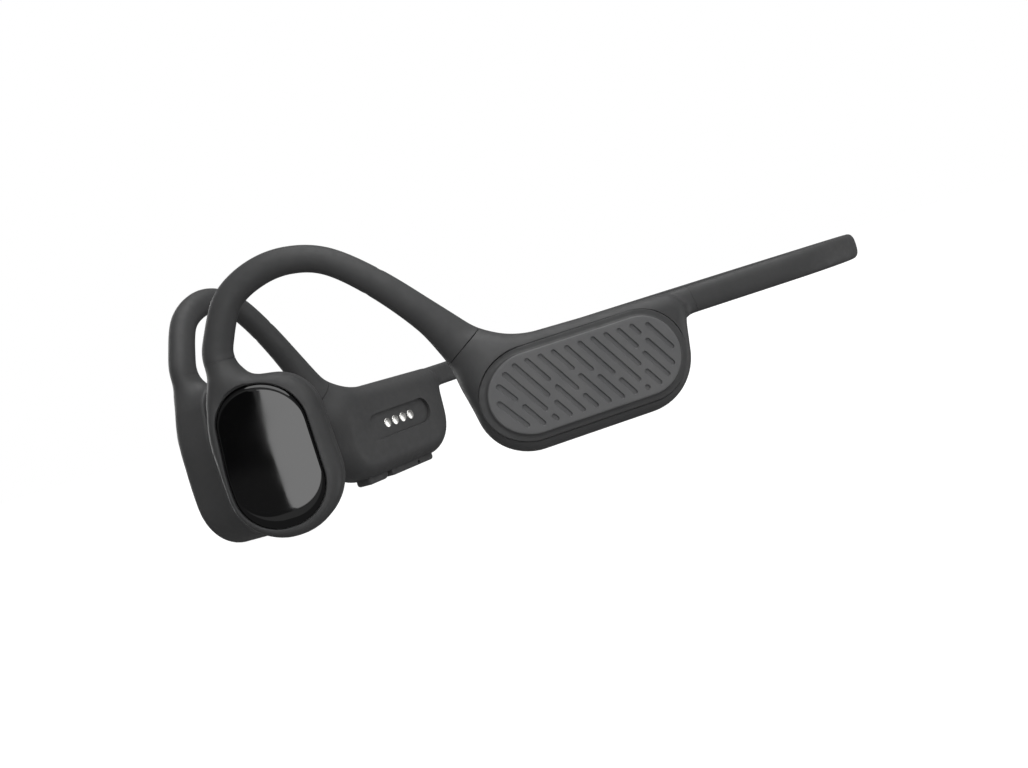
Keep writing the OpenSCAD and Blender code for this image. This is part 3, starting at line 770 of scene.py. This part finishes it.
def make_world():
    """White to the camera, and a dim even fill to everything else."""
    world = bpy.data.worlds.new("studio")
    bpy.context.scene.world = world
    world.use_nodes = True
    nodes, links = world.node_tree.nodes, world.node_tree.links
    nodes.clear()
    out = nodes.new("ShaderNodeOutputWorld")
    white, fill = nodes.new("ShaderNodeBackground"), nodes.new("ShaderNodeBackground")
    mix, path = nodes.new("ShaderNodeMixShader"), nodes.new("ShaderNodeLightPath")
    fill.inputs["Strength"].default_value = WORLD_FILL
    links.new(path.outputs["Is Camera Ray"], mix.inputs["Fac"])
    links.new(fill.outputs["Background"], mix.inputs[1])
    links.new(white.outputs["Background"], mix.inputs[2])
    links.new(mix.outputs["Shader"], out.inputs["Surface"])
    for background in (white, fill):
        background.inputs["Color"].default_value = (1, 1, 1, 1)


bpy.context.scene.view_settings.view_transform = "Standard"
place_camera()
make_world()
make_stage()
for title, (direction, watts) in SOFTBOXES.items():
    softbox(title, direction, watts)
# The near plate mirrors the white card on its rear half and the dark one on its front half
make_card("white_card", near=(386.3, -398.4), far=(560, -185), low=-60, high=75, glow=4.2, foot_glow=0.0,
          fade=(-60, -42), shifts=(5, -0.4, -0.6, 4.2, 9))
make_card("dark_card", near=(389, -401), far=(150, -640), low=-60, high=120, glow=0.03, foot_glow=0.15,
          fade=(-12, 3))


# ---------------------------------------------------------------- housings
def seam_plane(station):
    """Point and direction of the hook where it crosses a station."""
    before, here, after = HOOK_STATIONS[station - 1:station + 2]
    return Vector((here[0], here[1], 0)), Vector((*(after - before)[:2], 0)).normalized()


def housing_pieces():
    """Outer and inner shell in arm coordinates, shared by both sides before their own cuts."""
    field = hollow(housing_field, WALL)
    points, quads = skin_mesh(field, HOUSING_BOX)
    whole = mesh_object("housing", points, quads)
    seam, along = seam_plane(HOUSING_SEAM)
    cut(whole, seam + along * SEAM_GAP, -along)
    back = Vector((1, BAND_SEAM_LEAN, 0)).normalized()
    cut(whole, Vector((BAND_SEAM_S, BAND_Z, 0)) - back * SEAM_GAP, back)
    outer = cut(copy_of(whole, "outer"), (0, 0, PARTING_GAP), (0, 0, -1))
    inner = cut(whole, (0, 0, -PARTING_GAP), (0, 0, 1))
    pocket = pill(*PAD_POCKET, PAD_CENTRE)
    carve(outer, loft("pad_pocket", [(pocket, PAD_FLOOR), (pocket, PAST_SKIN)]))
    return outer, inner


def key_window(span):
    """Opening round a key, through the housing's floor."""
    w = KEY_HALF_W + KEY_GAP
    front, back = span[0] - KEY_GAP, span[1] + KEY_GAP
    low, high = KEY_WINDOW_HEIGHTS
    outline = np.array([(front, low), (back, low), (back, high), (front, high)])
    return loft("window", [(outline, -w), (outline, w)])


def port_recess():
    """Pill-shaped recess whose floor slopes up towards the front."""
    outline = pill(*PORT_SIZE, PORT_CENTRE)
    n = len(outline)
    cutter = loft("recess", [(outline, -PAST_SKIN), (outline, PORT_FLOOR)])
    for v in cutter.data.vertices[n:]:
        v.co.z += PORT_SLOPE * (v.co.x - PORT_CENTRE[0])
    return cutter


def make_housings():
    """Both shells on both sides. The right ones are cut for the keys and the charging port."""
    outer, inner = housing_pieces()
    for side, word in SIDES:
        skins = {"outer": copy_of(outer, "outer_skin"), "inner": copy_of(inner, "inner_skin")}
        if side < 0:
            for skin in skins.values():
                carve(skin, key_window(POWER_SPAN), key_window(ROCKER_SPAN))
            carve(skins["inner"], port_recess())
        for which, skin in skins.items():
            name = f"{word}_housing_{which}_skin"
            finished(mapped(skin, side), name, shell_coat, f"{word}_arm",
                     [f"{word}_housing_{which}_shell"])
    bpy.data.objects.remove(outer)
    bpy.data.objects.remove(inner)


# ---------------------------------------------------------------- grip pads
def slot_reach(c, way):
    """Distance along a slanted line through (c, 0) to the edge of the slotted field."""
    r = PLATEAU[1] / 2 - SLOT_MARGIN - SLOT_WIDTH / 2
    half = PLATEAU[0] / 2 - SLOT_MARGIN - SLOT_WIDTH / 2 - r
    u = way * np.array([-math.cos(SLOT_ANGLE), math.sin(SLOT_ANGLE)])
    x = c + u[0] * r / math.sin(SLOT_ANGLE)
    if abs(x) <= half:
        return r / math.sin(SLOT_ANGLE)
    q = np.array([c + half if x < 0 else c - half, 0])
    return -(q @ u) + math.sqrt(max((q @ u) ** 2 - q @ q + r * r, 0))


def slot_cutters():
    """One solid for each slot, wider at its mouth and rounded at its floor."""
    profile = ((-0.5, -0.4), (-0.06, 0), (0, 0.06), (0.03, 0.36), (0.1, SLOT_DEPTH))
    u = np.array([-math.cos(SLOT_ANGLE), math.sin(SLOT_ANGLE)])
    across = np.array([-u[1], u[0]])
    cutters = []
    for j, gap in enumerate(SLOT_BREAKS):
        c = SLOT_START + j * SLOT_PITCH
        ends = [-slot_reach(c, -1), slot_reach(c, 1)]
        if gap is not None:
            middle = gap / math.sin(SLOT_ANGLE)
            ends[1:1] = [middle - SLOT_BREAK_HALF, middle + SLOT_BREAK_HALF]
        for start, stop in zip(ends[0::2], ends[1::2]):
            stop = max(stop, start + 0.05)
            centre = np.array(PAD_CENTRE) + np.array([c, 0]) + u * (start + stop) / 2
            layers = []
            for inset, depth in profile:
                width = SLOT_WIDTH - 2 * inset
                bar = pill(stop - start + width, width, steps=8)
                layers.append((centre + bar[:, :1] * u + bar[:, 1:] * across, PAD_TOP - depth))
            cutters.append(loft("slot", layers[::-1]))
    return cutters


def make_pads():
    """A flange with the shell's coat that fills the pocket, and a slotted plateau with a soft edge.
    Rings are (length, height, w)."""
    rings = [(41.3, 17.9, 4.9), (41.3, 17.9, 5.4), (41.1, 17.7, 5.47), (40.8, 17.4, 5.49),
             (39.6, 16.5, 5.5), (39.15, 16.05, 5.56), (38.75, 15.7, 5.7), (38.45, 15.4, 5.9),
             (38.3, 15.25, 6.06), (38.1, 15.1, 6.16), (37.7, 14.7, PAD_TOP), (37.2, 14.2, PAD_TOP)]
    pad = loft("pad", [(pill(length, height, PAD_CENTRE, 32), w) for length, height, w in rings])
    carve(pad, *slot_cutters())
    centres = np.array([face.center for face in pad.data.polygons])
    on_rim = outline_distance(pill(*PAD_RIM, PAD_CENTRE, 32), centres[:, 0], centres[:, 1]) > 0
    for side, word in SIDES:
        piece = finished(mapped(copy_of(pad, "pad_copy"), side), f"{word}_slotted_pad", pad_rubber,
                         f"{word}_arm", [f"{word}_grip_pad"], sharp=30)
        piece.data.materials.append(shell_coat)
        piece.data.polygons.foreach_set("material_index", on_rim.astype(np.int32))
    bpy.data.objects.remove(pad)


# ---------------------------------------------------------------- ear hooks
def sleeve_rings(path, bore=None, sides=40):
    """Rings across a path of [s, z, half height, half thickness], or round bores, in arm coordinates."""
    along = np.gradient(path[:, :2], axis=0)
    along /= np.linalg.norm(along, axis=1)[:, None]
    up = np.stack([-along[:, 1], along[:, 0]], 1)
    a = np.radians(np.arange(sides) * 360 / sides)
    size = path[:, 2:] if bore is None else np.full((len(path), 2), bore)
    flat = path[:, None, :2] + up[:, None, :] * (size[:, :1] * np.cos(a))[:, :, None]
    return np.concatenate([flat, (size[:, 1:] * np.sin(a))[:, :, None]], 2)


def with_spigots(outer, inner):
    """Adds a narrower stub at each end of a tube, which closes the seam inside its neighbour."""
    def stub(last, before, rings, inset):
        centre, earlier = last.mean(0), before.mean(0)
        ahead = (centre - earlier) / np.linalg.norm(centre - earlier)
        spokes = rings - rings.mean(0)
        shrunk = rings - spokes * inset / np.linalg.norm(spokes, axis=1)[:, None]
        return [shrunk, shrunk + ahead * SPIGOT_LENGTH]
    near = [stub(outer[0], outer[1], rings, inset)[::-1]
            for rings, inset in ((outer[0], SPIGOT_INSET), (inner[0], 0))]
    far = [stub(outer[-1], outer[-2], rings, inset)
           for rings, inset in ((outer[-1], SPIGOT_INSET), (inner[-1], 0))]
    return [np.concatenate([a, b, c]) for a, b, c in zip(near, (outer, inner), far)]


def make_hooks():
    """Sleeves from seam to seam, whose ends take the shape of the pod's neck and the housing's stub."""
    path = smooth_path(HOOK_STATIONS, POD_SEAM - 1, HOUSING_SEAM + 1, HOOK_STEPS)
    outer = sleeve_rings(path)[HOOK_STEPS:-HOOK_STEPS]
    inner = sleeve_rings(path, bore=HOOK_BORE)[HOOK_STEPS:-HOOK_STEPS]
    ends = ((slice(0, POD_END_RINGS), pod_field), (slice(-HOUSING_END_RINGS, None), housing_field))
    for rings, field in ends:
        near = outer[rings]
        outer[rings] = settle(field, near.reshape(-1, 3)).reshape(near.shape)
    outer, inner = with_spigots(outer, inner)
    for side, word in SIDES:
        sleeve = tube("sleeve", outer, inner)
        finished(mapped(sleeve, side), f"{word}_hook_skin", sleeve_silicone, f"{word}_arm",
                 [f"{word}_hook_sleeve"])


# ---------------------------------------------------------------- neckband
def band_line(step_mm=1.2):
    """Points [x, y, outward x, outward y] along the band's centre line, from left seam to right seam."""
    sin_h, cos_h = math.sin(HOUSING_SPLAY), math.cos(HOUSING_SPLAY)
    line = [(VALLEY[0] + s * sin_h, VALLEY[1] + s * cos_h, cos_h, -sin_h)
            for s in np.arange(BAND_SEAM_S, ARM_STRAIGHT, step_mm)]
    centre = np.array([VALLEY[0] + ARM_STRAIGHT * sin_h - CORNER_RADIUS * cos_h,
                       VALLEY[1] + ARM_STRAIGHT * cos_h + CORNER_RADIUS * sin_h])
    last = BOW_ANGLE - math.pi / 2
    count = int(CORNER_RADIUS * (HOUSING_SPLAY - last) / step_mm) + 1
    for h in np.linspace(HOUSING_SPLAY, last, count):
        out_x, out_y = math.cos(h), -math.sin(h)
        line.append((centre[0] + CORNER_RADIUS * out_x, centre[1] + CORNER_RADIUS * out_y, out_x, out_y))
    bow_radius = line[-1][0] / math.sin(BOW_ANGLE)
    bow_centre = line[-1][1] - bow_radius * math.cos(BOW_ANGLE)
    for a in np.linspace(BOW_ANGLE, 0, int(bow_radius * BOW_ANGLE / step_mm) + 1)[1:]:
        out_x, out_y = math.sin(a), math.cos(a)
        line.append((bow_radius * out_x, bow_centre + bow_radius * out_y, out_x, out_y))
    half = np.array(line)
    other = half[-2::-1] * np.array([-1, 1, -1, 1])
    return np.concatenate([half, other])


def band_rings(line, half_h, half_t, power=2.0, lift=0.0, sides=36):
    """Rings across the band's line, whose first and last ones lean like the seams."""
    a = np.radians(np.arange(sides) * 360 / sides)
    high = half_h * np.sign(np.cos(a)) * np.abs(np.cos(a)) ** (2 / power) + lift
    wide = half_t * np.sign(np.sin(a)) * np.abs(np.sin(a)) ** (2 / power)
    near_end = np.clip(1 - np.arange(len(line)) / BAND_LEAN_RINGS, 0, 1)
    lean = BAND_SEAM_LEAN * (near_end[::-1] - near_end)[:, None, None] * high[None, :, None]
    along = np.stack([-line[:, 3], line[:, 2]], 1)[:, None, :]
    flat = line[:, None, :2] + line[:, None, 2:] * wide[None, :, None] + along * lean
    z = np.broadcast_to((BAND_Z + high)[None, :, None], flat.shape[:2] + (1,))
    return np.concatenate([flat, z], 2)


def make_band():
    """Sleeve, wire and cable, which run curved from one arm to the other."""
    line = band_line()
    flex = ("left_arm", "right_arm", (0.05, 0.06, 0.02), (-0.05, 0.06, 0.02))
    outer = band_rings(line, BAND_HALF_H, BAND_HALF_T, BAND_POWER)
    outer, inner = with_spigots(outer, band_rings(line, *BAND_BORE))
    sleeve = tube("band", outer * MM, inner * MM)
    finished(sleeve, "neckband_skin", sleeve_silicone, flex, ["neckband_sleeve"])
    wire = rod("wire", band_rings(line, WIRE_RADIUS, WIRE_RADIUS, lift=CORE_LIFT, sides=12) * MM)
    finished(wire, "neckband_wire", core_steel, flex, ["neckband_core_wire"])
    cable = rod("cable", band_rings(line, CABLE_RADIUS, CABLE_RADIUS, lift=-CORE_LIFT, sides=12) * MM)
    finished(cable, "neckband_lead", cable_jacket, flex, ["neckband_cable"])


# ---------------------------------------------------------------- pods
def pod_shell_mesh():
    """Hollow pod up to the hook's seam, cut open for the plate with a softly rounded lip."""
    points, quads = skin_mesh(hollow(pod_field, WALL), POD_BOX)
    shell = mesh_object("pod", points, quads)
    seam, along = seam_plane(POD_SEAM)
    cut(shell, seam - along * SEAM_GAP, along)
    lip = [(rounded(PLATE_CORNERS, inset), POD_RIM + w)
           for inset, w in ((-0.08, -1.15), (-0.08, -0.2), (-0.16, -0.06), (-0.45, 0.2), (-0.8, 1.5))]
    return carve(shell, loft("lip", lip))


def plate_mesh():
    """Glossy cover with a flat middle whose edges fall away, most gently at the bottom."""
    outer, inner = rounded(PLATE_CORNERS, PLATE_INSET), rounded(CROWN_CORNERS)
    layers = [(outer, POD_RIM - PLATE_DEPTH)]
    for u in (0, 0.03, 0.08, 0.16, 0.28, 0.44, 0.62, 0.8, 1.0, 1.08):
        fall = CROWN_FALL * max(1 - u, 0) ** 2.4
        layers.append((outer + (inner - outer) * u, POD_RIM - CROWN_DROP - fall))
    return loft("plate", layers)


def contact_pad_mesh():
    """Soft pad on the pod's inner face, with a rounded edge given as (inset, height)."""
    profile = [(0.75, 2.15), (0.6, 2.08), (0.62, 1.6), (0.95, 1.05), (1.6, 0.55), (2.5, 0.22),
               (3.6, 0.06), (4.8, 0), (5.6, 0)]
    return loft("contact", [(rounded(POD_CORNERS, inset), POD_INNER + w) for inset, w in profile[::-1]])


def make_pods():
    """Each model is made once and placed on both sides."""
    models = ((pod_shell_mesh(), "pod_skin", shell_coat, "pod_shell", "soft_touch_shell"),
              (plate_mesh(), "gloss_cover", gloss_plate, "pod_face_plate", "gloss_plate"),
              (contact_pad_mesh(), "contact_skin", contact_rubber, "pod_contact_pad", "contact_rubber"))
    for model, word, material, node, slot in models:
        for side, hand in SIDES:
            finished(mapped(copy_of(model, "pod_copy"), side), f"{hand}_{word}", material,
                     f"{hand}_arm", [f"{hand}_{node}"])
        bpy.data.objects.remove(model)


# ---------------------------------------------------------------- keys and charging pins
def key_mesh(span, front, back):
    """A key of that span; front and back are the radii of its two lower corners."""
    corners = [(span[1], KEY_TOP, 0.2), (span[0], KEY_TOP, 0.2), (span[0], 0, front), (span[1], 0, back)]
    half = [(inset, rise - KEY_HALF_W) for inset, rise in ((0.55, 0), (0.25, 0.08), (0.08, 0.25), (0, 0.5))]
    layers = half + [(inset, -w) for inset, w in half[::-1]]
    return loft("key", [(rounded(corners, inset, 6), w) for inset, w in layers])


def make_keys():
    """The power key and the volume rocker, whose corners are rounder where they face each other."""
    power = key_mesh(POWER_SPAN, 0.8, 1.4)
    finished(mapped(power, -1), "power_button", key_plastic, "power_key", ["power_key"])
    rocker = key_mesh(ROCKER_SPAN, 1.2, 0.8)
    mouth = pill(*DIMPLE_SIZE, DIMPLE_CENTRE)
    carve(rocker, loft("dimple", [(mouth, -KEY_HALF_W - 0.5), (mouth, DIMPLE_DEPTH - KEY_HALF_W)]))
    finished(mapped(rocker, -1), "volume_button", key_plastic, "volume_rocker", ["volume_rocker"])


def make_pins():
    """A row of round pins with softened ends, as one piece."""
    profile = ((0.9, -5.1), (1.04, -5.08), (1.14, -5.03), (PIN_RADIUS, -4.93), (PIN_RADIUS, 0.7))
    circle = np.radians(np.arange(40) * 9)
    spokes = np.stack([np.cos(circle), np.sin(circle)], 1)
    pins = []
    for i in range(PIN_COUNT):
        centre = np.array([PORT_CENTRE[0] + (i - (PIN_COUNT - 1) / 2) * PIN_PITCH, PORT_CENTRE[1]])
        pins.append(loft("pin", [(centre + radius * spokes, w) for radius, w in profile]))
    first = pins[0]
    with bpy.context.temp_override(active_object=first, selected_objects=pins,
                                   selected_editable_objects=pins):
        bpy.ops.object.join()
    finished(mapped(first, -1), "charging_contacts", pin_metal, "right_arm", ["charging_pins"])


make_housings()
make_pads()
make_hooks()
make_band()
make_pods()
make_keys()
make_pins()
